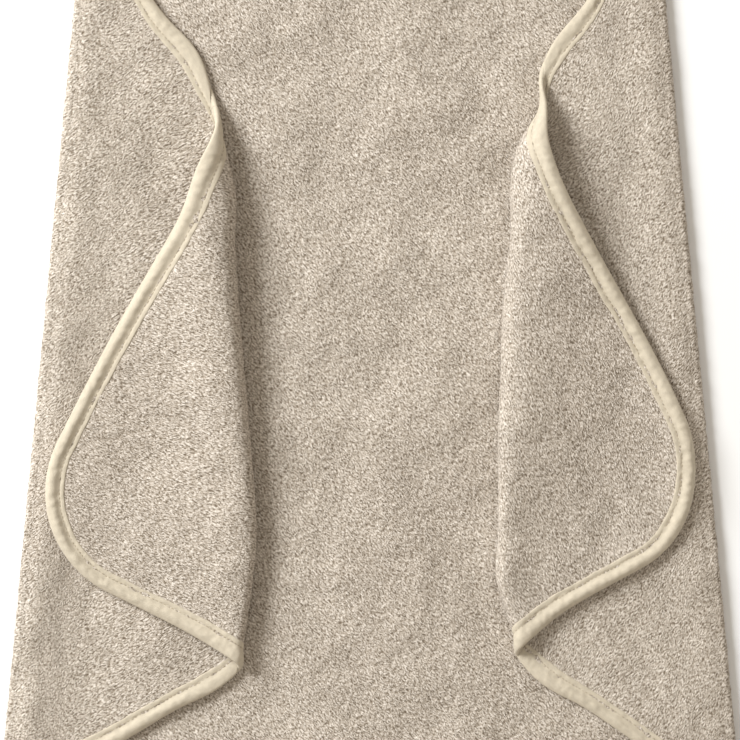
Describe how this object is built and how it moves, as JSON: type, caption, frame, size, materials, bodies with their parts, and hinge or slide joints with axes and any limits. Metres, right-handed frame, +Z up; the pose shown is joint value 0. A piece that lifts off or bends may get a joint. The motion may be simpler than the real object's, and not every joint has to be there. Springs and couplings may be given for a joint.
{
  "type": "hooded baby towel",
  "caption": "Square terry towel on its diagonal with a hooded corner, taped edges and side corners that fold in and turn back out.",
  "frame": {"origin": "bottom centre of the box round the towel as it lies; the middle of the square cloth is on the same vertical line", "axes": "+Z up, +Y along the cloth's diagonal towards the hood, +X to the right when seen from above with the hood up"},
  "size_m": [0.4966, 1.0134, 0.036],
  "materials": {
    "terry": "beige cotton terry with short loops",
    "tape": "light beige woven cotton binding tape",
    "thread": "matte cotton sewing thread",
    "satin": "plain woven satin label, blank"
  },
  "bodies": {
    "towel": {"centre_panel": "terry", "hood_panel": "terry", "hood_end_binding": "tape", "foot_end_binding": "tape", "hood_end_topstitch": "thread", "foot_end_topstitch": "thread", "hood_front_binding": "tape", "hood_front_topstitch": "thread", "care_label": "satin"},
    "left_side": {"left_side_panel": "terry", "left_side_upper_binding": "tape", "left_side_lower_binding": "tape", "left_side_topstitch": "thread"},
    "left_corner": {"left_corner_panel": "terry", "left_corner_binding": "tape", "left_corner_topstitch": "thread"},
    "right_side": {"right_side_panel": "terry", "right_side_upper_binding": "tape", "right_side_lower_binding": "tape", "right_side_topstitch": "thread"},
    "right_corner": {"right_corner_panel": "terry", "right_corner_binding": "tape", "right_corner_topstitch": "thread"}
  },
  "joints": [
    {"name": "left_side_fold", "type": "hinge", "parent": "towel", "child": "left_side", "pos_m": [-0.225, 0, 0.00425], "axis": [-0.0941, -0.9956, 0], "range_deg": [0, 180]},
    {"name": "left_corner_fold", "type": "hinge", "parent": "left_side", "child": "left_corner", "pos_m": [-0.084, 0, 0.0095], "axis": [-0.0698, 0.9976, 0], "range_deg": [0, 180]},
    {"name": "right_side_fold", "type": "hinge", "parent": "towel", "child": "right_side", "pos_m": [0.225, 0, 0.00425], "axis": [-0.0941, 0.9956, 0], "range_deg": [0, 180]},
    {"name": "right_corner_fold", "type": "hinge", "parent": "right_side", "child": "right_corner", "pos_m": [0.088, 0, 0.0095], "axis": [-0.061, -0.9981, 0], "range_deg": [0, 180]}
  ],
  "couplings": [
    {"joint": "left_corner_fold", "follows": "left_side_fold", "ratio": 1},
    {"joint": "right_corner_fold", "follows": "right_side_fold", "ratio": 1}
  ]
}
